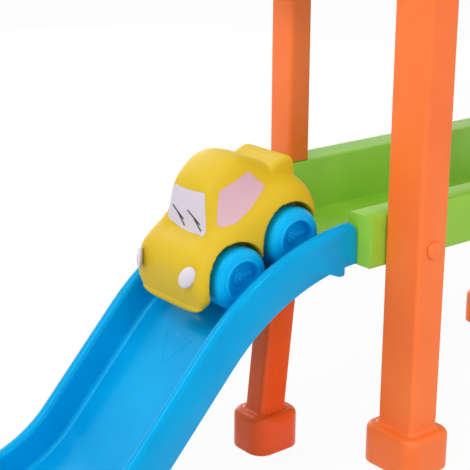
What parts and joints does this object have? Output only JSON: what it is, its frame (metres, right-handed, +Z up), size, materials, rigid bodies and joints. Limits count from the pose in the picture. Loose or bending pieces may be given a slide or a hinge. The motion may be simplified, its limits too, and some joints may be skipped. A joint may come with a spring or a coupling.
{
  "type": "toy parking garage",
  "caption": "Two-storey toy car garage on square posts, with a curved drive-down ramp, a knob-driven rack lift and one small car.",
  "frame": {"origin": "middle of the foot print, on the ground", "axes": "+X from the foot of the ramp towards the lift, +Y from the open side with the wide posts to the side with the high wall and the lift tower, +Z up"},
  "size_m": [0.5614, 0.1618, 0.3767],
  "materials": {
    "deck_green": "moulded, satin gloss",
    "post_orange": "moulded, satin gloss",
    "ramp_blue": "moulded, glossy",
    "wheel_blue": "moulded, glossy",
    "car_yellow": "soft moulded, satin",
    "lamp_white": "printed white, satin gloss",
    "axle_steel": "plain drawn rod"
  },
  "bodies": {
    "root": {"front_slim_post": "post_orange", "rear_slim_post": "post_orange", "front_wide_post": "post_orange", "rear_wide_post": "post_orange", "rear_wall_leg": "post_orange", "ramp_leg": "post_orange", "front_wide_peg_lower": "post_orange", "front_wide_peg_roof": "post_orange", "rear_wide_peg_lower": "post_orange", "rear_wide_peg_roof": "post_orange", "lift_base": "deck_green", "lift_cap": "ramp_blue", "lift_rack": "car_yellow", "lift_tower": "post_orange", "lower_deck": "deck_green", "ramp": "ramp_blue", "roof_deck": "deck_green"},
    "car": {"car_body": "car_yellow", "car_chassis": "ramp_blue", "headlight_far": "lamp_white", "headlight_near": "lamp_white"},
    "front_wheels": {"front_axle": "axle_steel", "front_wheel_far": "wheel_blue", "front_wheel_near": "wheel_blue"},
    "rear_wheels": {"rear_axle": "axle_steel", "rear_wheel_far": "wheel_blue", "rear_wheel_near": "wheel_blue"},
    "lift_carriage": {"lift_cabin": "ramp_blue"},
    "lift_crank": {"lift_shaft": "axle_steel", "lift_pinion": "ramp_blue", "lift_knob": "car_yellow"}
  },
  "joints": [
    {"name": "car_roll", "type": "hinge", "parent": "root", "child": "car", "pos_m": [-0.06292, 0.0022, -0.0063], "axis": [0, -1, 0], "range_deg": [-12, 16]},
    {"name": "front_wheels_spin", "type": "hinge", "parent": "car", "child": "front_wheels", "pos_m": [-0.13357, 0.0022, 0.11317], "axis": [0, -1, 0], "continuous": true},
    {"name": "rear_wheels_spin", "type": "hinge", "parent": "car", "child": "rear_wheels", "pos_m": [-0.09872, 0.0022, 0.1278], "axis": [0, -1, 0], "continuous": true},
    {"name": "lift_slide", "type": "slide", "parent": "root", "child": "lift_carriage", "axis": [0, 0, 1], "range_m": [0, 0.2497]},
    {"name": "knob_spin", "type": "hinge", "parent": "lift_carriage", "child": "lift_crank", "pos_m": [0.22068, 0.0022, 0.0967], "axis": [0, -1, 0], "continuous": true}
  ],
  "couplings": [
    {"joint": "front_wheels_spin", "follows": "car_roll", "ratio": 7.5494},
    {"joint": "rear_wheels_spin", "follows": "car_roll", "ratio": 7.5494},
    {"joint": "knob_spin", "follows": "lift_slide", "rad_per_m": 100}
  ]
}
